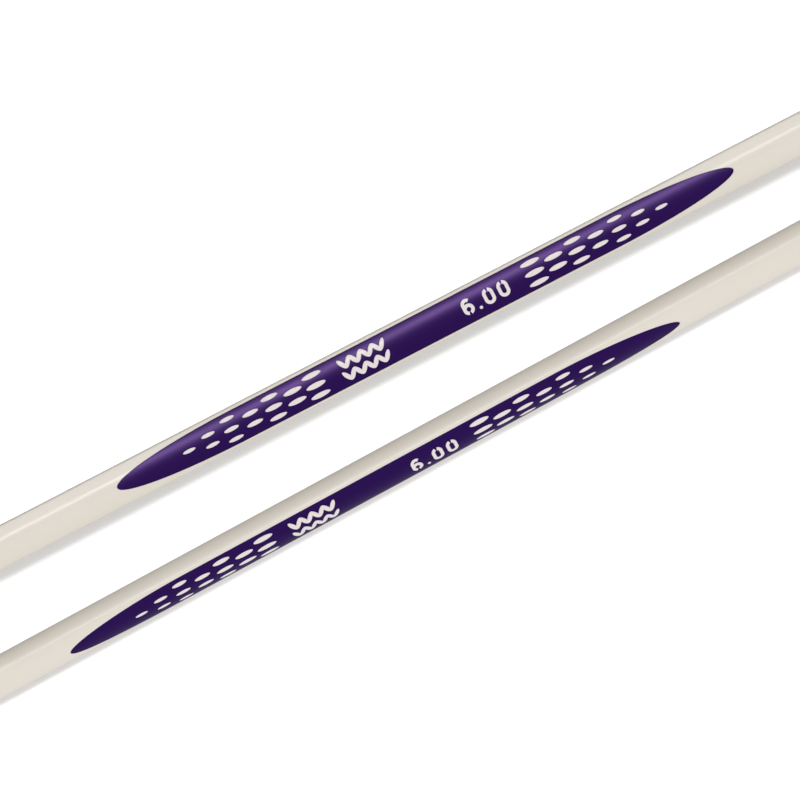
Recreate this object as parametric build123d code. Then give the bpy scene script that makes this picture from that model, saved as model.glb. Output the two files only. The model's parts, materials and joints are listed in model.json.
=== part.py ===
from build123d import *
import os
from math import asin, cos, degrees, radians, sin

# A pair of double pointed knitting needles lying side by side, in millimetres and degrees.
# Each needle is a two-component moulding: a core that runs from point to point, and a grip
# let into the middle of one face. The core's bosses come up flush through the grip's windows.
# A needle is built along X with its grip face towards +Z, then rolled, turned and set down.

# Overall sizes
needle_length = 200.0       # point to point
across = 6.035              # from a face's middle to the corner opposite it

# Cross-section: three bulging faces and three rounded corners
face_radius = 4.612
corner_radius = 0.613

# Points: the three-sided shaft draws in to a round neck, then a drop-shaped tip
taper_length = 18.0
neck_diameter = 2.3
neck_length = 3.5           # from the neck's waist to the drop's widest place
drop_diameter = 2.7
drop_length = 5.5           # from the drop's widest place to the very tip
tip_radius = 0.4
taper_sections = 9

# Grip
grip_length = 101.1
grip_nose = 20.2            # length of the narrowing half-ellipse at each end
grip_depth = 0.5
corner_land = 0.24          # plain face between the grip's edge and the corner's round
bond_gap = 0.02             # all round, between the grip and the core it is moulded to

# Dots: columns of oval windows that get smaller towards the grip's ends
column_rows = ((-2, 0, 2), (-1, 1), (-2, 0, 2), (-1, 1), (-2, 0, 2), (-1, 1), (0,))
middle_field = 32.7         # plain length between the two groups of dots
dots_to_end = 11.8          # from the last column's middle to the grip's end
dot_land = 0.58             # from the largest dot's side to the grip's edge
first_dot = (3.17, 0.86)    # length and width in the column nearest the middle
last_dot = (2.07, 0.58)     # and in the column nearest the end

# Marks, between the middle and the dots
mark_gap = 2.67             # from a mark to the nearest dot
leaf_length = 2.0           # one side of a stitch
leaf_width = 0.76
leaf_tilt = 58.0            # from the needle's axis
stitch_pitch = 1.86         # along the needle
stitch_count = 4
course_pitch = 1.96         # across the needle
course_count = 2
digit_height = 2.56
digit_width = 1.75
digit_stroke = 0.55
digit_space = 0.6
terminal_angle = 45.0       # where the six's stem ends, from level
stencil_bridge = 0.28       # gap that joins the inside of a digit to the rest of the grip

# How the pair lies
needle_spacing = 15.3       # between the two axes, across
needle_stagger = 17.35      # between the two middles, along
needle_spread = 1.11        # between the directions of the two axes
rear_roll = 4.87            # lean of the grip face's middle from straight up towards -Y
front_roll = 48.24

# Section figures worked out from the sizes above
radius_step = face_radius - corner_radius
face_half_angle = 30 + degrees(asin((across - face_radius - corner_radius) / (2 * radius_step)))
corner_reach = radius_step * sin(radians(face_half_angle)) / sin(radians(60))
face_setback = radius_step * cos(radians(face_half_angle)) - corner_reach / 2

shaft_half = needle_length / 2 - taper_length - neck_length - drop_length
face_height = face_radius - face_setback

# Grip figures
grip_half_arc = radians(face_half_angle) * face_radius - corner_land
grip_half_width = face_radius * sin(grip_half_arc / face_radius)
grip_straight = grip_length / 2 - grip_nose
row_pitch = (grip_half_arc - dot_land - first_dot[1] / 2) / 2
first_column = (middle_field + first_dot[0]) / 2
column_pitch = (grip_length / 2 - dots_to_end - first_column) / (len(column_rows) - 1)

# Digit figures: the middle line of a stroke round the upper and the lower half of a digit
bowl_radius = (digit_width - digit_stroke) / 2
bowl_height = (digit_height - digit_width) / 2
bowl_gap = degrees(stencil_bridge / 2 / bowl_radius)


def section(x, spread, radius):
    """Rounded triangle across the needle at x. A spread of 0 makes it a circle of this radius."""
    arcs = []
    for face_angle in (90, 210, 330):
        face_centre = Vector(-spread * face_setback, 0).rotate(Axis.Z, face_angle)
        corner_centre = Vector(spread * corner_reach, 0).rotate(Axis.Z, face_angle + 60)
        arcs.append(CenterArc(face_centre, radius + spread * radius_step,
                              face_angle - face_half_angle, 2 * face_half_angle))
        arcs.append(CenterArc(corner_centre, radius,
                              face_angle + face_half_angle, 120 - 2 * face_half_angle))
    return Plane.YZ.offset(x) * make_face(arcs)


def taper():
    """The +X stretch where the shaft draws in to the round neck, without a step at either end."""
    sections = []
    for i in range(taper_sections):
        t = i / (taper_sections - 1)
        ease = t * t * (3 - 2 * t)
        radius = corner_radius + ease * (neck_diameter / 2 - corner_radius)
        sections.append(section(shaft_half + t * taper_length, 1 - ease, radius))
    return loft(sections)


def drop():
    """The +X round tip: a neck that swells to the drop, then an ogive with a rounded nose."""
    neck_x = shaft_half + taper_length
    widest_x = neck_x + neck_length
    tip_x = needle_length / 2
    neck, widest = neck_diameter / 2, drop_diameter / 2
    rise = drop_length - tip_radius
    ogive_radius = (rise ** 2 + widest ** 2 - tip_radius ** 2) / (2 * (widest - tip_radius))
    turn = degrees(asin(rise / (ogive_radius - tip_radius)))
    swell = Spline((neck_x, neck), (widest_x, widest), tangents=[(1, 0), (1, 0)])
    ogive = CenterArc((widest_x, widest - ogive_radius), ogive_radius, 90, -turn)
    nose = CenterArc((tip_x - tip_radius, 0), tip_radius, 90 - turn, turn - 90)
    base = Polyline((tip_x, 0), (neck_x, 0), (neck_x, neck))
    return revolve(Plane.XZ * make_face([swell, ogive, nose, base]), Axis.X, 360)


def plain_needle():
    """The whole outer shape, without the grip's pocket."""
    shaft = extrude(section(-shaft_half, 1, corner_radius), 2 * shaft_half)
    point = taper() + drop()
    return shaft + point + mirror(point, Plane.YZ)


def grip_outline(grow):
    """The grip seen along its face's normal: straight sides and a half-ellipse at each end."""
    half_width = grip_half_width + grow
    middle = Rectangle(2 * grip_straight, 2 * half_width)
    nose = Ellipse(grip_nose + grow, half_width)
    return middle + Pos(grip_straight, 0) * nose + Pos(-grip_straight, 0) * nose


def dots(grow):
    """Oval windows, the same on both halves, drawn along the face's normal."""
    ovals = []
    for column, rows in enumerate(column_rows):
        share = column / (len(column_rows) - 1)
        length, width = (first + share * (last - first) for first, last in zip(first_dot, last_dot))
        x = first_column + column * column_pitch
        for row in rows:
            lean = row * row_pitch / face_radius
            oval = Ellipse(length / 2 + grow, width / 2 * cos(lean) + grow)
            for side in (-1, 1):
                ovals.append(Pos(side * x, face_radius * sin(lean)) * oval)
    return ovals


def stitch_mark(grow):
    """Two courses of knit stitches, each stitch a V of two leaves, on the -X half."""
    width = stitch_count * stitch_pitch
    middle = first_dot[0] / 2 + mark_gap + width / 2 - first_column
    leaf = Ellipse(leaf_length / 2 + grow, leaf_width / 2 + grow)
    leaves = []
    for course in range(course_count):
        y = (course - (course_count - 1) / 2) * course_pitch
        for stitch in range(stitch_count):
            x = middle + (stitch - (stitch_count - 1) / 2) * stitch_pitch
            for side in (-1, 1):
                leaves.append(Pos(x + side * stitch_pitch / 4, y) * Rot(0, 0, side * leaf_tilt) * leaf)
    return leaves


def nought():
    """The digit 0 as one stroke, open at its top."""
    return trace([
        CenterArc((0, bowl_height), bowl_radius, 0, 90 - bowl_gap),
        Line((bowl_radius, bowl_height), (bowl_radius, -bowl_height)),
        CenterArc((0, -bowl_height), bowl_radius, 180, 180),
        Line((-bowl_radius, -bowl_height), (-bowl_radius, bowl_height)),
        CenterArc((0, bowl_height), bowl_radius, 90 + bowl_gap, 90 - bowl_gap),
    ], digit_stroke)


def six():
    """The digit 6: a stem that runs into the left of the bowl, and the rest of it, open at its bottom."""
    stem = trace([
        CenterArc((0, bowl_height), bowl_radius, terminal_angle, 180 - terminal_angle),
        Line((-bowl_radius, bowl_height), (-bowl_radius, -bowl_height)),
        CenterArc((0, -bowl_height), bowl_radius, 180, 90 - bowl_gap),
    ], digit_stroke)
    bowl = trace([CenterArc((0, -bowl_height), bowl_radius, bowl_gap - 90, 270 - bowl_gap)], digit_stroke)
    return stem + bowl


def numeral_mark(grow):
    """The needle's size in numerals, six point nought nought, on the +X half."""
    end = first_column - first_dot[0] / 2 - mark_gap
    pitch = digit_width + digit_space
    point_end = end - 2 * pitch
    point = Pos(point_end - digit_stroke / 2, (digit_stroke - digit_height) / 2) * Circle(digit_stroke / 2)
    glyphs = Pos(point_end - digit_stroke - digit_space - digit_width / 2, 0) * six() + point
    for middle in (end - digit_width / 2 - pitch, end - digit_width / 2):
        glyphs += Pos(middle, 0) * nought()
    return [offset(glyph, grow) if grow else glyph for glyph in glyphs.faces()]


def inlay_outline(grow):
    """The grip's outline less its windows. Grown, its outside gets larger and its windows smaller."""
    return grip_outline(grow) - dots(-grow) - stitch_mark(-grow) - numeral_mark(-grow)


def through_face(sketch):
    """Prism of a flat sketch, from the needle's axis out past its grip face."""
    return extrude(sketch, 2 * face_height)


def under_face(depth):
    """Everything further below the grip face than this depth, measured square to it."""
    bore = Cylinder(face_radius - depth, needle_length, rotation=(0, 90, 0))
    return Pos(0, 0, -face_setback) * bore


def grip():
    """The curved plate let into the face, with its windows."""
    plate = through_face(inlay_outline(0)) & under_face(0)
    return plate - under_face(grip_depth)


def core():
    """The needle from point to point, with the grip's pocket and the bosses that fill its windows."""
    pocket = through_face(inlay_outline(bond_gap)) - under_face(grip_depth + bond_gap)
    return plain_needle() - pocket


def floor_height(roll):
    """How high the axis stands above the surface when the needle is rolled by this angle."""
    down = (180 - roll + 60) % 120 - 60
    if abs(down) <= face_half_angle:
        return face_radius - face_setback * cos(radians(down))
    return corner_radius + corner_reach * cos(radians(60 - abs(down)))


def lay(piece, roll, side):
    """Roll, turn and set down a piece. Side is 1 for the rear needle and -1 for the front one."""
    turn = Rot(0, 0, -side * needle_spread / 2) * Rot(roll, 0, 0)
    place = Pos(side * needle_stagger / 2, side * needle_spacing / 2, floor_height(roll))
    return place * turn * piece


needle_core = core()
needle_grip = grip()
pieces = {}
for name, roll, side in (("rear", rear_roll, 1), ("front", front_roll, -1)):
    pieces[f"{name}_needle_core"] = lay(needle_core, roll, side)
    pieces[f"{name}_needle_grip"] = lay(needle_grip, roll, side)

# The origin is the middle of the pair's footprint on the surface it lies on
footprint = Compound(list(pieces.values())).bounding_box().center()
to_origin = Pos(-footprint.X, -footprint.Y, 0)

os.makedirs("parts", exist_ok=True)
for name, piece in pieces.items():
    export_step(to_origin * piece, f"parts/{name}.step")
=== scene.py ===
"""A pair of double pointed knitting needles, lying side by side on a pale studio floor."""

import json
import logging
import math
from dataclasses import dataclass
from enum import Enum
from typing import Any, Iterable, Sequence

import bmesh
import bpy
from mathutils import Matrix, Vector

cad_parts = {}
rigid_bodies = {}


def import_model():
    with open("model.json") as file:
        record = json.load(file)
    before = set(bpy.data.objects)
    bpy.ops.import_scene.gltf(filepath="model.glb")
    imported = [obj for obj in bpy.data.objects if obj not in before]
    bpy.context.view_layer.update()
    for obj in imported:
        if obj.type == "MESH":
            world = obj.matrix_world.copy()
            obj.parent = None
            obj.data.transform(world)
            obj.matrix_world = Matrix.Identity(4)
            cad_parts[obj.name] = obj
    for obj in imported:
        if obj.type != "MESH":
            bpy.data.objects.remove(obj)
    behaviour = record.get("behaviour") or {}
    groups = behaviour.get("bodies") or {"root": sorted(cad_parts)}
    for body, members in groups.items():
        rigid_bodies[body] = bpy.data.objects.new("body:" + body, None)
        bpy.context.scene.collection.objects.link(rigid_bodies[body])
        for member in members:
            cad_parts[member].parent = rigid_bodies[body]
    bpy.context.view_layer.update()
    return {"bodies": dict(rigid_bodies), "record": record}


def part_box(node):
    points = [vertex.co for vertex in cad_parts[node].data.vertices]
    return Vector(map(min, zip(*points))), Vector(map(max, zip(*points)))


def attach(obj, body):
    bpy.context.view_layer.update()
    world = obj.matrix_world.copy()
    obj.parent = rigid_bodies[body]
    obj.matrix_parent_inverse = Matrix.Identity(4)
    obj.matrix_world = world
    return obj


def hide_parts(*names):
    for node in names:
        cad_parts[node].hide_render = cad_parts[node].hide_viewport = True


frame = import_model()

log = logging.getLogger("needles")

MM = 0.001
HAIR = 0.0001 * MM
Colour = tuple[float, float, float]


# ---------------------------------------------------------------- node graphs


class Value:
    """A node's output, or a number, that takes part in sums as a Python value does."""

    def __init__(self, graph: "Graph", source: Any) -> None:
        """Wrap a socket.

        Args:
            graph: The graph that new nodes are added to.
            source: The output socket.
        """
        self.graph = graph
        self.source = source

    def _math(self, operation: str, *others: Any) -> "Value":
        """Add one Math node.

        Args:
            operation: The node's operation.
            others: What goes into its sockets.

        Returns:
            The node's output.
        """
        return self.graph.node("ShaderNodeMath", {"operation": operation}, list(others))

    def __add__(self, other: Any) -> "Value":
        """Sum."""
        return self._math("ADD", self, other)

    def __radd__(self, other: Any) -> "Value":
        """Sum with a number on the left."""
        return self._math("ADD", other, self)

    def __sub__(self, other: Any) -> "Value":
        """Difference."""
        return self._math("SUBTRACT", self, other)

    def __rsub__(self, other: Any) -> "Value":
        """Difference from a number on the left."""
        return self._math("SUBTRACT", other, self)

    def __mul__(self, other: Any) -> "Value":
        """Product."""
        return self._math("MULTIPLY", self, other)

    def __rmul__(self, other: Any) -> "Value":
        """Product with a number on the left."""
        return self._math("MULTIPLY", other, self)

    def __truediv__(self, other: Any) -> "Value":
        """Quotient."""
        return self._math("DIVIDE", self, other)

    def __mod__(self, other: Any) -> "Value":
        """Remainder, never negative for a positive divisor."""
        return self._math("FLOORED_MODULO", self, other)

    def __pow__(self, other: Any) -> "Value":
        """Power."""
        return self._math("POWER", self, other)

    def __lt__(self, other: Any) -> "Value":
        """1 where this is below the other, else 0."""
        return self._math("LESS_THAN", self, other)

    def __gt__(self, other: Any) -> "Value":
        """1 where this is above the other, else 0."""
        return self._math("GREATER_THAN", self, other)

    def __abs__(self) -> "Value":
        """Size without sign."""
        return self._math("ABSOLUTE", self)

    def rounded(self) -> "Value":
        """The nearest whole number."""
        return self._math("ROUND", self)


class Graph:
    """Adds nodes to a node tree, one call for each."""

    def __init__(self, tree: bpy.types.NodeTree) -> None:
        """Start on a tree.

        Args:
            tree: A shader or geometry node tree.
        """
        self.tree = tree

    def node(self, kind: str, settings: dict[str, Any] | None = None,
             inputs: Sequence[Any] | dict[str, Any] = (), output: str | int = 0) -> Value:
        """Add a node, set it up and link it.

        Args:
            kind: The node's type name.
            settings: Properties set before the sockets are filled.
            inputs: Values or links, in socket order or by socket name. None leaves a socket alone.
            output: Which output to hand back.

        Returns:
            The chosen output.
        """
        made = self.tree.nodes.new(kind)
        for key, setting in (settings or {}).items():
            setattr(made, key, setting)
        pairs = inputs.items() if isinstance(inputs, dict) else enumerate(inputs)
        for key, content in pairs:
            self.fill(made.inputs[key], content)
        return Value(self, made.outputs[output] if made.outputs else None)

    def fill(self, socket: bpy.types.NodeSocket, content: Any) -> None:
        """Link or set one input socket.

        Args:
            socket: The input.
            content: A Value to link, several Values, a plain value, or None to leave it alone.
        """
        if isinstance(content, Value):
            self.tree.links.new(content.source, socket)
        elif isinstance(content, list) and content and isinstance(content[0], Value):
            for one in content:
                self.tree.links.new(one.source, socket)
        elif content is not None:
            socket.default_value = content

    def split(self, vector: Value) -> tuple[Value, Value, Value]:
        """The three parts of a vector.

        Args:
            vector: The vector.

        Returns:
            Its x, y and z.
        """
        x = self.node("ShaderNodeSeparateXYZ", inputs=[vector])
        sockets = x.source.node.outputs
        return x, Value(self, sockets[1]), Value(self, sockets[2])

    def join(self, x: Any, y: Any, z: Any) -> Value:
        """A vector from three parts.

        Args:
            x: First part.
            y: Second part.
            z: Third part.

        Returns:
            The vector.
        """
        return self.node("ShaderNodeCombineXYZ", inputs=[x, y, z])


# ---------------------------------------------------------------- finishes


class Slot(Enum):
    """The record's material slots."""

    CREAM = "cream_polymer"
    VIOLET = "violet_polymer"


@dataclass(frozen=True)
class Finish:
    """Smooth moulded polymer with faint flow lines, specks and handling marks."""

    name: str
    slot: Slot
    colour: Colour
    shade: Colour
    roughness: float
    roughness_spread: float
    specular_tint: Colour = (1.0, 1.0, 1.0)
    specular: float = 0.5
    speck: Colour = (0.5, 0.5, 0.5)
    speck_strength: float = 0.0
    speck_pitch: float = 0.55 * MM
    speck_radius: float = 0.075
    grain_depth: float = 0.0012 * MM
    grain_size: float = 0.12 * MM
    grain_share: float = 0.6
    streak_size: float = 0.09 * MM
    flow_size: float = 1.6 * MM
    flow_share: float = 0.9
    cloud_size: float = 14.0 * MM
    cloud_share: float = 0.7
    flow_squeeze: float = 0.08

    def material(self) -> bpy.types.Material:
        """Build the material.

        Returns:
            A new material with this finish's name.
        """
        made = bpy.data.materials.new(self.name)
        made.use_nodes = True
        tree = made.node_tree
        tree.nodes.clear()
        graph = Graph(tree)
        place = graph.node("ShaderNodeTexCoord", output="Object")
        along = graph.node("ShaderNodeMapping", {"vector_type": "POINT"},
                           {"Vector": place, "Scale": (self.flow_squeeze, 1.0, 1.0)})
        flow = self._noise(graph, along, self.flow_size, 3.0)
        cloud = self._noise(graph, place, self.cloud_size, 2.0)
        grain = self._noise(graph, place, self.grain_size, 2.0)
        streak = self._noise(graph, along, self.streak_size, 2.0)
        tone = (flow - 0.5) * self.flow_share + (cloud - 0.5) * self.cloud_share + 0.5
        base = self._mix(graph, tone, self.shade, self.colour)
        if self.speck_strength:
            cells = graph.node("ShaderNodeTexVoronoi", {"feature": "F1"},
                               {"Vector": place, "Scale": 1 / self.speck_pitch, "Randomness": 1.0})
            dot = (cells < self.speck_radius) * self.speck_strength
            base = self._mix(graph, dot, base, self.speck)
        rough = (self.roughness + (streak - 0.5) * self.roughness_spread
                 + (cloud - 0.5) * self.roughness_spread)
        bump = graph.node("ShaderNodeBump", None,
                          {"Strength": 1.0, "Distance": self.grain_depth,
                           "Height": grain * self.grain_share + streak * (1 - self.grain_share)})
        shader = graph.node("ShaderNodeBsdfPrincipled", None, {
            "Base Color": base, "Roughness": rough, "Normal": bump,
            "Specular IOR Level": self.specular, "Specular Tint": (*self.specular_tint, 1.0)})
        graph.node("ShaderNodeOutputMaterial", None, {"Surface": shader})
        return made

    @staticmethod
    def _noise(graph: Graph, place: Value, size: float, detail: float) -> Value:
        """Smooth noise between 0 and 1.

        Args:
            graph: The graph to add to.
            place: Where it is read.
            size: How far apart its features are, in metres.
            detail: Octaves.

        Returns:
            The noise's strength.
        """
        return graph.node("ShaderNodeTexNoise", {"noise_dimensions": "3D"},
                          {"Vector": place, "Scale": 1 / size, "Detail": detail}, output="Fac")

    @staticmethod
    def _mix(graph: Graph, share: Value, low: Any, high: Any) -> Value:
        """Blend two colours.

        Args:
            graph: The graph to add to.
            share: 0 gives low and 1 gives high.
            low: A colour or a link.
            high: A colour or a link.

        Returns:
            The blended colour.
        """
        low, high = ((*c, 1.0) if isinstance(c, tuple) else c for c in (low, high))
        return graph.node("ShaderNodeMix", {"data_type": "RGBA"}, {0: share, 6: low, 7: high}, output=2)


CREAM = Finish("cream_satin_polymer", Slot.CREAM, colour=(0.678, 0.630, 0.562),
               shade=(0.654, 0.604, 0.534), roughness=0.26, roughness_spread=0.04,
               speck=(0.60, 0.555, 0.48), speck_strength=0.3)
BOSS = Finish("pale_satin_polymer", Slot.CREAM, colour=(0.715, 0.650, 0.648),
              shade=(0.690, 0.624, 0.620), roughness=0.30, roughness_spread=0.04)
VIOLET = Finish("violet_matte_polymer", Slot.VIOLET, colour=(0.0180, 0.0034, 0.066),
                shade=(0.0162, 0.0030, 0.060), roughness=0.42, roughness_spread=0.05,
                specular_tint=(0.62, 0.36, 1.0), specular=0.07, grain_depth=0.003 * MM)


# ---------------------------------------------------------------- shapes


def ease(t: float) -> float:
    """Smooth step from 0 to 1, level at both ends."""
    return t * t * (3 - 2 * t)


def new_object(name: str, mesh: bpy.types.Mesh) -> bpy.types.Object:
    """Put a mesh into the scene.

    Args:
        name: The object's name.
        mesh: Its mesh.

    Returns:
        The linked object.
    """
    made = bpy.data.objects.new(name, mesh)
    bpy.context.scene.collection.objects.link(made)
    return made


def tube(name: str, rings: Sequence[Sequence[Vector]], start: Vector, end: Vector) -> bpy.types.Object:
    """A closed tube through rings of equal length, with a pole at each end.

    Args:
        name: The object's name.
        rings: Loops of points, in order along the tube.
        start: The pole before the first ring.
        end: The pole after the last ring.

    Returns:
        The object, with its faces pointing outwards.
    """
    shell = bmesh.new()
    loops = [[shell.verts.new(point) for point in ring] for ring in rings]
    count = len(loops[0])
    for near, far in zip(loops, loops[1:]):
        for i in range(count):
            k = (i + 1) % count
            shell.faces.new((near[i], near[k], far[k], far[i]))
    for loop, pole in ((loops[0], start), (loops[-1], end)):
        centre = shell.verts.new(pole)
        for i in range(count):
            shell.faces.new((loop[i], loop[(i + 1) % count], centre))
    bmesh.ops.recalc_face_normals(shell, faces=shell.faces)
    mesh = bpy.data.meshes.new(name)
    shell.to_mesh(mesh)
    shell.free()
    return new_object(name, mesh)


def plain_mesh(source: bpy.types.Object) -> bpy.types.Mesh:
    """The object's evaluated shape as a plain mesh, after which the object is removed.

    Args:
        source: An object with modifiers.

    Returns:
        The finished mesh.
    """
    seen = source.evaluated_get(bpy.context.evaluated_depsgraph_get())
    mesh = bpy.data.meshes.new_from_object(seen)
    bpy.data.objects.remove(source)
    return mesh


def seal(mesh: bpy.types.Mesh) -> None:
    """Close the hair cracks that a boolean can leave.

    Args:
        mesh: The mesh to close.
    """
    shell = bmesh.new()
    shell.from_mesh(mesh)
    bmesh.ops.remove_doubles(shell, verts=shell.verts, dist=HAIR)
    bmesh.ops.dissolve_degenerate(shell, edges=shell.edges, dist=HAIR)
    bmesh.ops.holes_fill(shell, edges=[edge for edge in shell.edges if edge.is_boundary])
    bmesh.ops.recalc_face_normals(shell, faces=shell.faces)
    shell.to_mesh(mesh)
    shell.free()


@dataclass(frozen=True)
class Section:
    """The shaft's cross-section: three bulging faces and three rounded corners."""

    across: float = 6.035 * MM
    face_radius: float = 4.612 * MM
    corner_radius: float = 0.613 * MM
    points_per_face: int = 36
    points_per_corner: int = 12

    @property
    def step(self) -> float:
        """How much larger a face's radius is than a corner's."""
        return self.face_radius - self.corner_radius

    @property
    def half_angle(self) -> float:
        """Angle from a face's middle to the start of the corner's round, in radians."""
        rest = self.across - self.face_radius - self.corner_radius
        return math.radians(30) + math.asin(rest / (2 * self.step))

    @property
    def corner_reach(self) -> float:
        """From the axis to the centre of a corner's round."""
        return self.step * math.sin(self.half_angle) / math.sin(math.radians(60))

    @property
    def setback(self) -> float:
        """From the axis to the centre of a face's arc, away from the face."""
        return self.step * math.cos(self.half_angle) - self.corner_reach / 2

    def ring(self, x: float, spread: float, radius: float) -> list[Vector]:
        """One loop of points across the needle.

        Args:
            x: Its place along the needle.
            spread: 1 for the shaft's full shape, down to 0 for a circle.
            radius: The corners' radius there.

        Returns:
            The loop, starting on the face that looks up.
        """
        points = []
        corner_span = math.radians(120) - 2 * self.half_angle
        for face in range(3):
            middle = math.radians(90 + 120 * face)
            arcs = (
                (-self.setback, middle, radius + spread * self.step, middle - self.half_angle,
                 2 * self.half_angle, self.points_per_face),
                (self.corner_reach, middle + math.radians(60), radius, middle + self.half_angle,
                 corner_span, self.points_per_corner),
            )
            for reach, towards, arc_radius, first, span, count in arcs:
                y = spread * reach * math.cos(towards)
                z = spread * reach * math.sin(towards)
                for i in range(count):
                    angle = first + span * i / count
                    points.append(Vector((x, y + arc_radius * math.cos(angle),
                                          z + arc_radius * math.sin(angle))))
        return points


@dataclass(frozen=True)
class Tip:
    """The drop-shaped point at each end of a needle."""

    taper_length: float = 18.0 * MM
    neck: float = 2.3 * MM
    neck_length: float = 3.5 * MM
    drop: float = 2.7 * MM
    drop_length: float = 5.5 * MM
    nose_radius: float = 0.4 * MM
    taper_steps: int = 30
    neck_steps: int = 8
    ogive_steps: int = 14
    nose_steps: int = 5

    @property
    def length(self) -> float:
        """From the end of the plain shaft to the very tip."""
        return self.taper_length + self.neck_length + self.drop_length

    def stations(self, corner_radius: float) -> list[tuple[float, float, float]]:
        """Where the rings lie and how large they are.

        Args:
            corner_radius: The shaft's corner radius.

        Returns:
            Distance from the shaft's end, spread and radius of each ring, outwards.
        """
        made = []
        for i in range(1, self.taper_steps + 1):
            t = i / self.taper_steps
            radius = corner_radius + ease(t) * (self.neck / 2 - corner_radius)
            made.append((t * self.taper_length, 1 - ease(t), radius))
        for i in range(1, self.neck_steps + 1):
            t = i / self.neck_steps
            radius = (self.neck + ease(t) * (self.drop - self.neck)) / 2
            made.append((self.taper_length + t * self.neck_length, 0.0, radius))
        widest, half, nose = self.taper_length + self.neck_length, self.drop / 2, self.nose_radius
        rise = self.drop_length - nose
        ogive = (rise ** 2 + half ** 2 - nose ** 2) / (2 * (half - nose))
        turn = math.asin(rise / (ogive - nose))
        for i in range(1, self.ogive_steps + 1):
            angle = turn * i / self.ogive_steps
            made.append((widest + ogive * math.sin(angle), 0.0, half - ogive * (1 - math.cos(angle))))
        for i in range(1, self.nose_steps):
            angle = (math.pi / 2 - turn) * (1 - i / self.nose_steps)
            made.append((self.length - nose * (1 - math.cos(angle)), 0.0, nose * math.sin(angle)))
        return made


@dataclass(frozen=True)
class Outline:
    """The grip's outline on its face: straight sides and a half-ellipse at each end."""

    length: float = 101.1 * MM
    nose: float = 20.2 * MM
    land: float = 0.24 * MM
    depth: float = 0.5 * MM
    gap: float = 0.02 * MM
    rim: float = 0.07 * MM
    rim_share: float = 0.7
    last_angle: float = math.radians(89.2)
    straight_steps: int = 96
    nose_steps: int = 34
    cross_steps: int = 28
    rim_steps: int = 4

    @property
    def straight(self) -> float:
        """From the middle to where the narrowing starts."""
        return self.length / 2 - self.nose

    def half_arc(self, section: Section) -> float:
        """Half the grip's width, measured round the face."""
        return section.half_angle * section.face_radius - self.land

    def stations(self, section: Section, grow: float) -> list[tuple[float, float]]:
        """Places along the grip and its half width there.

        Args:
            section: The shaft's section.
            grow: How much larger than the grip itself.

        Returns:
            Place and half width round the face, from the -X end to the +X end.
        """
        radius = section.face_radius
        flat = radius * math.sin(self.half_arc(section) / radius)
        half = []
        for i in range(self.straight_steps // 2):
            half.append((self.straight * 2 * i / self.straight_steps, flat))
        for i in range(self.nose_steps):
            angle = self.last_angle * i / (self.nose_steps - 1)
            half.append((self.straight + (self.nose + grow) * math.sin(angle), flat * math.cos(angle)))
        arcs = [(x, radius * math.asin(y / radius) + grow) for x, y in half]
        return [(-x, w) for x, w in arcs[:0:-1]] + arcs

    def loop(self, x: float, half: float, low: float, high: float, rim: float) -> list[Vector]:
        """The grip's cross-section, laid flat.

        Args:
            x: Place along the needle.
            half: Half width there.
            low: Height of its underside.
            high: Height of its top.
            rim: Radius of its top edges.

        Returns:
            The loop of points.
        """
        rim = min(rim, self.rim_share * half)
        top = []
        for i in range(self.rim_steps):
            angle = math.pi / 2 * i / self.rim_steps
            top.append((half - rim + rim * math.cos(angle), high - rim + rim * math.sin(angle)))
        for i in range(self.cross_steps + 1):
            top.append(((half - rim) * (1 - 2 * i / self.cross_steps), high))
        top += [(-s, h) for s, h in top[:self.rim_steps][::-1]]
        base = [(-half + 2 * half * i / self.cross_steps, low) for i in range(self.cross_steps + 1)]
        return [Vector((x, s, h)) for s, h in top + base]

    def slab(self, name: str, section: Section, grow: float, high: float, rim: float) -> bpy.types.Object:
        """The grip without its windows, laid flat.

        Args:
            name: The object's name.
            section: The shaft's section.
            grow: How much larger than the grip itself.
            high: Height of its top.
            rim: Radius of its top edges.

        Returns:
            The slab.
        """
        low = -self.depth - grow
        rings = [self.loop(x, half, low, high, rim) for x, half in self.stations(section, grow)]
        middle = Vector((0, 0, (low + high) / 2))
        ends = [Vector((ring[0].x, 0, middle.z)) for ring in (rings[0], rings[-1])]
        return tube(name, rings, *ends)


def wrap(mesh: bpy.types.Mesh, section: Section) -> None:
    """Bend a flat mesh round the face that looks up. Y was round the face and Z was above it.

    Args:
        mesh: The mesh to bend.
        section: The shaft's section.
    """
    for vertex in mesh.vertices:
        x, s, h = vertex.co
        angle = s / section.face_radius
        reach = section.face_radius + h
        vertex.co = (x, reach * math.sin(angle), reach * math.cos(angle) - section.setback)
    mesh.update()


# ---------------------------------------------------------------- inlay features


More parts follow.
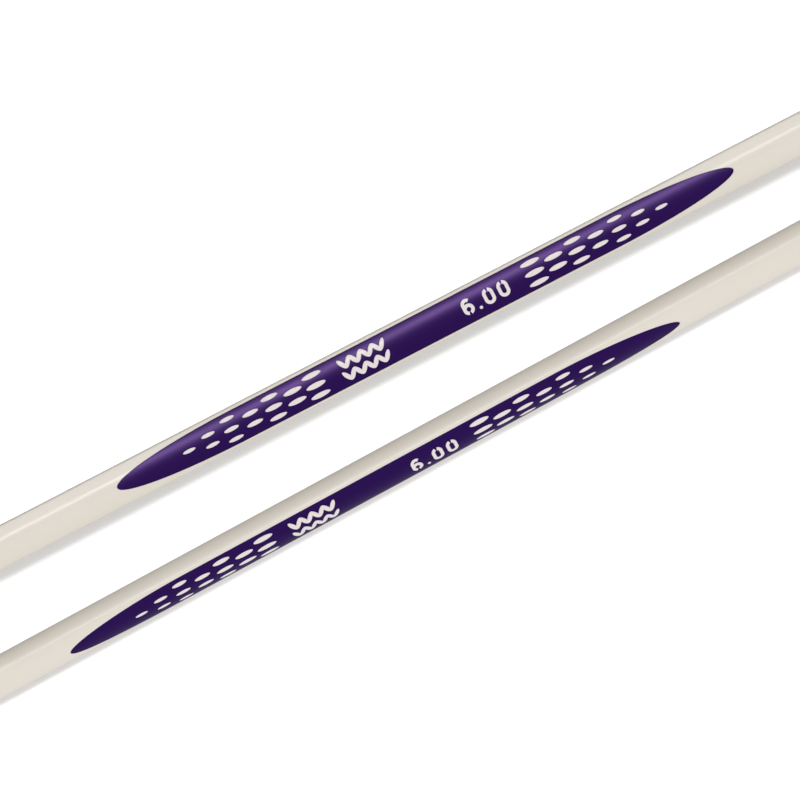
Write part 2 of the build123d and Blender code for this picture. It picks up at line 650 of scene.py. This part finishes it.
class FieldTree:
    """A geometry node tree that adds flush features to a mesh, or cuts their windows out of it."""

    COMMON = {
        "Boss": ("Object", None), "Grow": ("Float", 0.0), "Stretch": ("Float", 1.0),
        "Lift": ("Float", 0.0), "Cut": ("Bool", False), "Material": ("Material", None),
    }

    def __init__(self, name: str, sizes: dict[str, float | int]) -> None:
        """Start a tree.

        Args:
            name: The tree's name.
            sizes: Its own named sizes. A whole number makes a whole-number input.
        """
        self.tree = bpy.data.node_groups.new(name, "GeometryNodeTree")
        self.graph = Graph(self.tree)
        face = self.tree.interface
        face.new_socket(name="Geometry", in_out="OUTPUT", socket_type="NodeSocketGeometry")
        face.new_socket(name="Geometry", in_out="INPUT", socket_type="NodeSocketGeometry")
        self.identifiers: dict[str, str] = {}
        kinds = {key: ("Int" if isinstance(size, int) else "Float", size) for key, size in sizes.items()}
        for key, (kind, start) in {**self.COMMON, **kinds}.items():
            socket = face.new_socket(name=key, in_out="INPUT", socket_type=f"NodeSocket{kind}")
            if start is not None:
                socket.default_value = start
            self.identifiers[key] = socket.identifier
        self.entry = self.graph.node("NodeGroupInput")

    def __getitem__(self, key: str) -> Value:
        """One of the tree's inputs, by name."""
        return Value(self.graph, self.entry.source.node.outputs[key])

    def boss(self) -> Value:
        """The unit boss that every oval is made from."""
        return self.graph.node("GeometryNodeObjectInfo", {"transform_space": "ORIGINAL"},
                               {"Object": self["Boss"]}, output="Geometry")

    def ovals(self, points: Value, length: Any, width: Any, turn: Any = None) -> Value:
        """Set a boss on each point.

        Args:
            points: Where the bosses go.
            length: Their length along the needle before they are turned.
            width: Their width.
            turn: Their turn about the face's normal, in radians.

        Returns:
            The bosses as real geometry.
        """
        room = self["Grow"] * 2
        size = self.graph.join(room + length, room + width, self["Stretch"])
        spin = None if turn is None else self.graph.join(0.0, 0.0, turn)
        raised = self.graph.node("GeometryNodeSetPosition", None, {
            "Geometry": points, "Offset": self.graph.join(0.0, 0.0, self["Lift"])})
        set_down = self.graph.node("GeometryNodeInstanceOnPoints", None, {
            "Points": raised, "Instance": self.boss(), "Rotation": spin, "Scale": size})
        return self.graph.node("GeometryNodeRealizeInstances", inputs=[set_down])

    def lattice(self, columns: Value, rows: Value, pitch: Value, row_pitch: Value) -> Value:
        """A grid of points about the middle of the face.

        Args:
            columns: How many along the needle.
            rows: How many round the face.
            pitch: Between columns.
            row_pitch: Between rows.

        Returns:
            The grid.
        """
        return self.graph.node("GeometryNodeMeshGrid", None, [
            (columns - 1) * pitch, (rows - 1) * row_pitch, columns, rows])

    def _boolean(self, operation: str, first: Value | None, features: Value, crossing: bool) -> Value:
        """A boolean with the features.

        Args:
            operation: The node's operation.
            first: What a difference starts from.
            features: The features' geometry.
            crossing: Whether the features cross one another.

        Returns:
            The result.
        """
        meshes = {"Mesh 2": [features]} if first is None else {"Mesh 1": first, "Mesh 2": [features]}
        return self.graph.node("GeometryNodeMeshBoolean", {"operation": operation, "solver": "EXACT"},
                               {**meshes, "Self Intersection": crossing})

    def finish(self, features: Value, crossing: bool = False) -> None:
        """End the tree: add the features or cut them out, and give the result its material.

        Args:
            features: The features' geometry.
            crossing: Whether the features cross one another.
        """
        given = self["Geometry"]
        whole = self._boolean("UNION", None, features, True) if crossing else features
        added = self.graph.node("GeometryNodeJoinGeometry", None, {"Geometry": [given, whole]})
        cut = self._boolean("DIFFERENCE", given, whole, crossing)
        chosen = self.graph.node("GeometryNodeSwitch", {"input_type": "GEOMETRY"},
                                 {"Switch": self["Cut"], "False": added, "True": cut})
        real = self.graph.node("GeometryNodeRealizeInstances", inputs=[chosen])
        dressed = self.graph.node("GeometryNodeSetMaterial", None,
                                  {"Geometry": real, "Material": self["Material"]})
        self.graph.node("NodeGroupOutput", inputs=[dressed])

    def apply(self, piece: bpy.types.Object, settings: dict[str, Any]) -> None:
        """Put the tree on an object.

        Args:
            piece: The object.
            settings: Input values by name.
        """
        modifier = piece.modifiers.new(self.tree.name, "NODES")
        modifier.node_group = self.tree
        for key, content in settings.items():
            modifier[self.identifiers[key]] = content


@dataclass(frozen=True)
class Dots:
    """Staggered columns of ovals on both halves of the grip, smaller towards its ends."""

    columns: int = 7
    rows: int = 5
    middle_field: float = 32.7 * MM
    to_end: float = 11.8 * MM
    land: float = 0.58 * MM
    first_length: float = 3.17 * MM
    first_width: float = 0.86 * MM
    last_length: float = 2.07 * MM
    last_width: float = 0.58 * MM
    least_land_share: float = 0.9

    @property
    def first_column(self) -> float:
        """From the middle of the grip to the first column."""
        return (self.middle_field + self.first_length) / 2

    def tree(self, section: Section, outline: Outline) -> FieldTree:
        """Build the node tree. A dot is left out where the narrowing grip has no room for it.

        Args:
            section: The shaft's section.
            outline: The grip's outline.

        Returns:
            The finished tree.
        """
        half_arc = outline.half_arc(section)
        made = FieldTree("dot_field", {
            "Columns": self.columns, "Rows": self.rows, "First column": self.first_column,
            "Pitch": (outline.length / 2 - self.to_end - self.first_column) / (self.columns - 1),
            "Row pitch": (half_arc - self.land - self.first_width / 2) / (self.rows // 2),
            "First length": self.first_length, "First width": self.first_width,
            "Last length": self.last_length, "Last width": self.last_width,
            "Half arc": half_arc, "Straight": outline.straight, "Nose": outline.nose,
            "Least land": self.least_land_share * self.land,
        })
        graph, first, pitch, row_pitch = made.graph, made["First column"], made["Pitch"], made["Row pitch"]
        grid = made.lattice(made["Columns"], made["Rows"], pitch, row_pitch)
        x, y, _ = graph.split(graph.node("GeometryNodeInputPosition"))
        column = (x / pitch + (made["Columns"] - 1) / 2).rounded()
        row = (y / row_pitch).rounded()
        out_of_step = abs(column + row) % 2
        place = first + column * pitch
        into_nose = graph.node("ShaderNodeMath", {"operation": "MAXIMUM"},
                               [(place - made["Straight"]) / made["Nose"], 0.0])
        room = made["Half arc"] * (1 - into_nose ** 2) ** 0.5
        width = self._taken(made, column, "width")
        crowded = abs(row) * row_pitch + width / 2 + made["Least land"] > room
        kept = graph.node("GeometryNodeDeleteGeometry", {"domain": "POINT"},
                          {"Geometry": grid, "Selection": (out_of_step + crowded) > 0.5})
        moved = graph.node("GeometryNodeSetPosition", None,
                           {"Geometry": kept, "Position": graph.join(place, row * row_pitch, 0.0)})
        other = graph.node("GeometryNodeTransform", None, {"Geometry": moved, "Scale": (-1.0, 1.0, 1.0)})
        both = graph.node("GeometryNodeJoinGeometry", None, {"Geometry": [moved, other]})
        column = (abs(x) - first) / pitch
        length, width = (self._taken(made, column, size) for size in ("length", "width"))
        made.finish(made.ovals(both, length, width))
        return made

    @staticmethod
    def _taken(made: FieldTree, column: Value, size: str) -> Value:
        """A dot's size in a column, between the first and the last.

        Args:
            made: The tree.
            column: The column's number.
            size: length or width.

        Returns:
            The size.
        """
        first, last = made[f"First {size}"], made[f"Last {size}"]
        return first + column / (made["Columns"] - 1) * (last - first)


@dataclass(frozen=True)
class Stitches:
    """Two courses of knit stitches, each a V of two leaves, on the -X half."""

    stitches: int = 4
    courses: int = 2
    pitch: float = 1.86 * MM
    course_pitch: float = 1.96 * MM
    leaf_length: float = 2.0 * MM
    leaf_width: float = 0.76 * MM
    tilt: float = math.radians(58)
    to_dots: float = 2.67 * MM

    def tree(self, dots: Dots) -> FieldTree:
        """Build the node tree.

        Args:
            dots: The dots that the mark keeps clear of.

        Returns:
            The finished tree.
        """
        middle = self.to_dots + self.stitches * self.pitch / 2 - dots.middle_field / 2
        made = FieldTree("stitch_mark", {
            "Stitches": self.stitches, "Courses": self.courses, "Pitch": self.pitch,
            "Course pitch": self.course_pitch, "Middle": middle, "Leaf length": self.leaf_length,
            "Leaf width": self.leaf_width, "Tilt": self.tilt,
        })
        graph = made.graph
        grid = made.lattice(made["Stitches"], made["Courses"], made["Pitch"], made["Course pitch"])
        leaves = []
        for side in (-1, 1):
            shift = graph.join(made["Middle"] + side * made["Pitch"] / 4, 0.0, 0.0)
            points = graph.node("GeometryNodeSetPosition", None, {"Geometry": grid, "Offset": shift})
            leaves.append(made.ovals(points, made["Leaf length"], made["Leaf width"], side * made["Tilt"]))
        made.finish(graph.node("GeometryNodeJoinGeometry", None, {"Geometry": leaves}), crossing=True)
        return made


@dataclass(frozen=True)
class Numerals:
    """The needle's size as six point nought nought, in single open strokes, on the +X half."""

    height: float = 2.56 * MM
    width: float = 1.75 * MM
    stroke: float = 0.55 * MM
    space: float = 0.6 * MM
    bridge: float = 0.28 * MM
    terminal: float = math.radians(45)
    merge: float = math.radians(20)
    to_dots: float = 2.67 * MM
    steps: int = 60

    @property
    def radius(self) -> float:
        """Radius of the round parts of a stroke's middle line."""
        return (self.width - self.stroke) / 2

    def arc(self, level: float, start: float, turn: float) -> list[Vector]:
        """Points round a bowl of a digit.

        Args:
            level: Height of the bowl's centre, 1 for the upper one and -1 for the lower one.
            start: Angle of the first point.
            turn: Angle to go round, positive anticlockwise.

        Returns:
            The points.
        """
        rise = level * (self.height - self.width) / 2
        count = max(2, round(self.steps * abs(turn) / math.tau))
        angles = [start + turn * i / count for i in range(count + 1)]
        return [Vector((self.radius * math.cos(a), rise + self.radius * math.sin(a), 0)) for a in angles]

    @property
    def gap(self) -> float:
        """Half of a bridge, as an angle about a bowl's centre."""
        return self.bridge / 2 / self.radius

    def six(self) -> list[list[Vector]]:
        """The middle lines of the 6: its stem with the left of the bowl, and the rest of the bowl."""
        stem = self.arc(1, self.terminal, math.pi - self.terminal)
        left = self.arc(-1, math.pi, math.pi / 2 - self.gap)
        rest = self.arc(-1, self.gap - math.pi / 2, 3 * math.pi / 2 - self.gap - self.merge)
        return [stem + left, rest]

    def nought(self) -> list[list[Vector]]:
        """The middle line of the 0, open at its top."""
        quarter = math.pi / 2 - self.gap
        right, left = self.arc(1, quarter, -quarter), self.arc(1, math.pi, -quarter)
        return [right + self.arc(-1, 0, -math.pi) + left]

    def paths(self, dots: Dots) -> bpy.types.Object:
        """The strokes' middle lines, in place on the flat face.

        Args:
            dots: The dots that the mark keeps clear of.

        Returns:
            An object that holds only edges.
        """
        last = dots.middle_field / 2 - self.to_dots - self.width / 2
        middle = last - self.width - self.space
        first = middle - self.width - 2 * self.space - self.stroke
        lines = bmesh.new()
        for strokes, place in ((self.six(), first), (self.nought(), middle), (self.nought(), last)):
            shift = Vector((place, 0, 0))
            for line in strokes:
                points = [lines.verts.new(point + shift) for point in line]
                for pair in zip(points, points[1:]):
                    lines.edges.new(pair)
        mesh = bpy.data.meshes.new("numeral_paths")
        lines.to_mesh(mesh)
        lines.free()
        return new_object("numeral_paths", mesh)

    def tree(self, dots: Dots, paths: bpy.types.Object, depth: float) -> FieldTree:
        """Build the node tree.

        Args:
            dots: The dots that the mark keeps clear of.
            paths: The strokes' middle lines.
            depth: How deep the strokes go.

        Returns:
            The finished tree.
        """
        point_x = dots.middle_field / 2 - self.to_dots - 2 * (self.width + self.space) - self.stroke / 2
        made = FieldTree("numeral_mark", {
            "Stroke": self.stroke, "Depth": depth, "Point X": point_x,
            "Point Y": (self.stroke - self.height) / 2,
        })
        graph = made.graph
        path = graph.node("GeometryNodeObjectInfo", {"transform_space": "ORIGINAL"},
                          {"Object": paths}, output="Geometry")
        line = graph.node("GeometryNodeMeshToCurve", None, {"Mesh": path})
        level = graph.node("GeometryNodeSetCurveNormal", {"mode": "Z_UP"}, {"Curve": line})
        tall = made["Depth"] * made["Stretch"]
        bar = graph.node("GeometryNodeCurvePrimitiveQuadrilateral", {"mode": "RECTANGLE"},
                         {"Width": made["Stroke"] + made["Grow"] * 2, "Height": tall})
        raised = graph.node("GeometryNodeSetPosition", None, {
            "Geometry": level, "Offset": graph.join(0.0, 0.0, made["Lift"] - tall / 2)})
        strokes = graph.node("GeometryNodeCurveToMesh", None,
                             {"Curve": raised, "Profile Curve": bar, "Fill Caps": True})
        spot = graph.node("GeometryNodeMeshLine", {"mode": "OFFSET"}, {
            "Count": 1, "Start Location": graph.join(made["Point X"], made["Point Y"], 0.0)})
        point = made.ovals(spot, made["Stroke"], made["Stroke"])
        marks = graph.node("GeometryNodeJoinGeometry", None, {"Geometry": [strokes, point]})
        made.finish(marks, crossing=True)
        return made


@dataclass(frozen=True)
class Boss:
    """A round boss 1 m across with its top at height 0, which each oval is scaled from."""

    rim: float = 0.05 * MM
    rim_width: float = 0.06
    bevel: float = 0.3
    points: int = 40

    def build(self, depth: float) -> bpy.types.Object:
        """Make it.

        Args:
            depth: Its height.

        Returns:
            The boss.
        """
        shoulder = (0.5 - self.bevel * self.rim_width, -self.bevel * self.rim)
        profile = [(0.5, -depth), (0.5, -self.rim), shoulder, (0.5 - self.rim_width, 0.0), (0.25, 0.0)]
        angles = [math.tau * i / self.points for i in range(self.points)]
        rings = [[Vector((r * math.cos(a), r * math.sin(a), h)) for a in angles] for r, h in profile]
        return tube("unit_boss", rings, Vector((0, 0, -depth)), Vector((0, 0, 0)))


# ---------------------------------------------------------------- needles


@dataclass
class Moulding:
    """One needle in its own axes: a core from point to point, and the grip let into its upper face."""

    length: float = 200.0 * MM
    section: Section = Section()
    tip: Tip = Tip()
    outline: Outline = Outline()
    dots: Dots = Dots()
    stitches: Stitches = Stitches()
    numerals: Numerals = Numerals()
    boss: Boss = Boss()
    ring_pitch: float = 2.5 * MM
    pocket_room: float = 1.0 * MM
    boss_stretch: float = 1.06
    window_stretch: float = 1.6
    window_lift: float = 0.15 * MM
    sharp_angle: float = math.radians(32)

    def shaft(self) -> bpy.types.Object:
        """The whole outer shape, along X about the origin.

        Returns:
            The closed shell.
        """
        end = self.length / 2 - self.tip.length
        corner = self.section.corner_radius
        outer = [(end + x, spread, radius) for x, spread, radius in self.tip.stations(corner)]
        count = round(2 * end / self.ring_pitch)
        plain = [(end * (2 * i / count - 1), 1.0, corner) for i in range(count + 1)]
        stations = [(-x, spread, radius) for x, spread, radius in reversed(outer)] + plain + outer
        rings = [self.section.ring(*station) for station in stations]
        return tube("shaft", rings, Vector((-self.length / 2, 0, 0)), Vector((self.length / 2, 0, 0)))

    def inlaid(self, piece: bpy.types.Object, trees: Iterable[FieldTree],
               settings: dict[str, Any]) -> bpy.types.Mesh:
        """Run every feature tree on a flat piece, then bend it round the face.

        Args:
            piece: The flat piece, which is used up.
            trees: The feature trees.
            settings: The inputs they share, by name.

        Returns:
            The bent mesh.
        """
        piece.data.materials.append(settings["Material"])
        for tree in trees:
            tree.apply(piece, settings)
        mesh = plain_mesh(piece)
        seal(mesh)
        wrap(mesh, self.section)
        return mesh

    def pocketed(self) -> bpy.types.Mesh:
        """The shaft with the grip's pocket cut into it.

        Returns:
            The mesh.
        """
        shaft = self.shaft()
        pocket = self.outline.slab("pocket", self.section, self.outline.gap, self.pocket_room, 0.0)
        wrap(pocket.data, self.section)
        cut = shaft.modifiers.new("pocket", "BOOLEAN")
        cut.operation, cut.solver, cut.object = "DIFFERENCE", "EXACT", pocket
        mesh = plain_mesh(shaft)
        bpy.data.objects.remove(pocket)
        return mesh

    def build(self) -> list[tuple[str, Finish, bpy.types.Mesh]]:
        """Make both pieces.

        Returns:
            Each piece's name, finish and mesh.
        """
        cream, pale, violet = (finish.material() for finish in (CREAM, BOSS, VIOLET))
        depth, gap = self.outline.depth, self.outline.gap
        boss, paths = self.boss.build(depth), self.numerals.paths(self.dots)
        trees = (self.dots.tree(self.section, self.outline), self.stitches.tree(self.dots),
                 self.numerals.tree(self.dots, paths, depth))
        slab = self.outline.slab("grip_slab", self.section, 0.0, 0.0, self.outline.rim)
        grip = self.inlaid(slab, trees, {
            "Boss": boss, "Stretch": self.window_stretch, "Lift": self.window_lift, "Cut": True,
            "Material": violet})
        bosses = self.inlaid(new_object("bosses", bpy.data.meshes.new("bosses")), trees, {
            "Boss": boss, "Grow": -gap, "Stretch": self.boss_stretch, "Material": pale})
        for helper in (boss, paths):
            bpy.data.objects.remove(helper)
        core = self.joined(self.pocketed(), bosses, (cream, pale))
        for mesh in (core, grip):
            mesh.shade_smooth()
            mesh.set_sharp_from_angle(angle=self.sharp_angle)
        return [("core", CREAM, core), ("grip", VIOLET, grip)]

    @staticmethod
    def joined(core: bpy.types.Mesh, bosses: bpy.types.Mesh,
               materials: Iterable[bpy.types.Material]) -> bpy.types.Mesh:
        """The core with its bosses.

        Args:
            core: The core's mesh, which is changed.
            bosses: The bosses' mesh.
            materials: The core's material and the bosses' one.

        Returns:
            The core's mesh.
        """
        core.materials.clear()
        for material in materials:
            core.materials.append(material)
        both = bmesh.new()
        both.from_mesh(core)
        plain_faces = len(both.faces)
        both.from_mesh(bosses)
        for index, face in enumerate(both.faces):
            face.material_index = int(index >= plain_faces)
        both.to_mesh(core)
        both.free()
        return core


@dataclass(frozen=True)
class Needle:
    """One needle of the pair, where the record puts it."""

    body: str

    @property
    def side(self) -> str:
        """Which of the pair this is, as the record's mounts name it."""
        return self.body.removesuffix("_needle")

    def place(self) -> Matrix:
        """The turn and shift from the moulding's own axes.

        Returns:
            The transform.
        """
        mounts = {mount["name"]: mount for mount in frame["record"]["mounts"]}
        left, right = (Vector(mounts[f"{self.side}_{end}_point"]["pos_m"]) for end in ("left", "right"))
        along = (right - left).normalized()
        up = Vector(mounts[f"{self.side}_grip_face"]["axis"]).normalized()
        across = up.cross(along).normalized()
        turn = Matrix((along, across, along.cross(across))).transposed().to_4x4()
        return Matrix.Translation((left + right) / 2) @ turn

    def lay(self, moulded: Iterable[tuple[str, Finish, bpy.types.Mesh]]) -> dict[str, bpy.types.Object]:
        """Set down a copy of the moulding's pieces.

        Args:
            moulded: Each piece's name, finish and mesh.

        Returns:
            The pieces by name.
        """
        laid = {}
        for part, finish, mesh in moulded:
            own = mesh.copy()
            own.transform(self.place())
            piece = new_object(f"{self.side}_{part}", own)
            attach(piece, self.body)
            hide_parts(f"{self.body}_{part}")
            log.info("%s: %d faces", piece.name, len(own.polygons))
            laid[part] = piece
        return laid


# ---------------------------------------------------------------- studio


@dataclass(frozen=True)
class Sun:
    """A distant light behind the needles, which lights only what it is given."""

    name: str
    lean: float
    strength: float
    spread: float
    diffuse: bool = False

    def build(self, receivers: Iterable[bpy.types.Object]) -> None:
        """Make the light. Without diffuse light it shows only as a highlight.

        Args:
            receivers: The objects it lights.
        """
        data = bpy.data.lights.new(self.name, "SUN")
        data.energy = self.strength
        data.angle = self.spread
        made = bpy.data.objects.new(self.name, data)
        made.rotation_euler = (-self.lean, 0.0, 0.0)
        made.visible_diffuse = self.diffuse
        bpy.context.scene.collection.objects.link(made)
        group = bpy.data.collections.new(f"{self.name}_receivers")
        for one in receivers:
            group.objects.link(one)
        made.light_linking.receiver_collection = group


@dataclass
class Studio:
    """The floor, the lights and the camera."""

    picture_width: float = 116.89 * MM
    lens: float = 400.0
    sensor: float = 36.0
    picture_turn: float = math.radians(27.915)
    aim: tuple[float, float] = (0.547 * MM, 0.11 * MM)
    focus_height: float = 3.0 * MM
    clip: float = 10.0
    floor_half: float = 6.0
    floor_tone: float = 0.78
    floor_roughness: float = 0.9
    darkest: float = 0.02
    ambient: float = 0.746
    overhead: float = 0.556
    overhead_lean: float = math.radians(50.1)
    panel: float = 2.42
    panel_edges: tuple[float, float] = (math.radians(33.4), math.radians(79.3))
    panel_blur: tuple[float, float] = (math.radians(8.0), math.radians(2.0))
    panel_half_width: float = 0.17
    panel_side_blur: float = 0.03
    core_highlight: Sun = Sun("core_highlight", math.radians(21), 0.32, math.radians(2))
    grip_sheen: Sun = Sun("grip_sheen", math.radians(28), 14.5, math.radians(3))
    floor_light: Sun = Sun("floor_light", math.radians(21), 2.8, math.radians(18), diffuse=True)

    def build(self, needles: Sequence[dict[str, bpy.types.Object]]) -> None:
        """Make everything around the needles.

        Args:
            needles: Each needle's pieces by name.
        """
        floor = self.floor()
        self.world()
        self.core_highlight.build(pieces["core"] for pieces in needles)
        self.grip_sheen.build(pieces["grip"] for pieces in needles)
        self.floor_light.build([floor])
        self.camera()

    def floor(self) -> bpy.types.Object:
        """A large pale floor under the needles, which throws no light back on them.

        Returns:
            The floor.
        """
        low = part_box("front_needle_core")[0].z
        half = self.floor_half
        mesh = bpy.data.meshes.new("floor")
        mesh.from_pydata([(-half, -half, low), (half, -half, low), (half, half, low), (-half, half, low)],
                         [], [(0, 1, 2, 3)])
        made = new_object("floor", mesh)
        material = bpy.data.materials.new("pale_floor")
        material.use_nodes = True
        shader = material.node_tree.nodes["Principled BSDF"]
        tone = self.floor_tone
        shader.inputs["Base Color"].default_value = (tone, tone, tone, 1.0)
        shader.inputs["Roughness"].default_value = self.floor_roughness
        shader.inputs["Specular IOR Level"].default_value = 0.0
        mesh.materials.append(material)
        made.visible_diffuse = made.visible_glossy = False
        return made

    def world(self) -> None:
        """Broad light from overhead and in front, and a tall panel behind."""
        world = bpy.data.worlds.new("studio")
        world.use_nodes = True
        world.node_tree.nodes.clear()
        graph = Graph(world.node_tree)
        x, y, z = graph.split(graph.node("ShaderNodeTexCoord", output="Generated"))
        towards = z * math.cos(self.overhead_lean) - y * math.sin(self.overhead_lean)
        broad = graph.node("ShaderNodeMath", {"operation": "MAXIMUM"},
                           [towards * self.overhead + self.ambient, self.darkest])
        lean = graph.node("ShaderNodeMath", {"operation": "ARCTAN2"}, [y, z])
        near, far = self.panel_edges
        near_blur, far_blur = self.panel_blur
        side, side_blur = self.panel_half_width, self.panel_side_blur
        panel = (self._step(graph, lean, near - near_blur, near + near_blur)
                 * self._step(graph, lean, far + far_blur, far - far_blur)
                 * self._step(graph, abs(x), side + side_blur, side - side_blur))
        back = graph.node("ShaderNodeBackground", None,
                          {"Color": (1.0, 1.0, 1.0, 1.0), "Strength": broad + panel * self.panel})
        graph.node("ShaderNodeOutputWorld", None, {"Surface": back})
        bpy.context.scene.world = world

    @staticmethod
    def _step(graph: Graph, value: Value, start: float, end: float) -> Value:
        """A smooth step.

        Args:
            graph: The graph to add to.
            value: What is compared.
            start: Where the step is still 0.
            end: Where it has reached 1.

        Returns:
            The step.
        """
        return graph.node("ShaderNodeMapRange", {"interpolation_type": "SMOOTHSTEP"}, {
            "Value": value, "From Min": start, "From Max": end, "To Min": 0.0, "To Max": 1.0})

    def camera(self) -> None:
        """Look straight down, turned so that the needles run up to the right."""
        data = bpy.data.cameras.new("camera")
        data.lens = self.lens
        data.sensor_width = self.sensor
        distance = self.picture_width * self.lens / self.sensor
        data.clip_end = self.clip * distance
        made = bpy.data.objects.new("camera", data)
        made.location = (*self.aim, self.focus_height + distance)
        made.rotation_euler = (0.0, 0.0, -self.picture_turn)
        bpy.context.scene.collection.objects.link(made)
        bpy.context.scene.camera = made


def main() -> None:
    """Build the pair of needles and the studio."""
    logging.basicConfig(level=logging.INFO, format="%(name)s: %(message)s")
    moulded = Moulding().build()
    needles = [Needle(body).lay(moulded) for body in frame["bodies"]]
    Studio().build(needles)
    bpy.context.scene.view_settings.view_transform = "Standard"


if __name__ == "__main__":
    main()
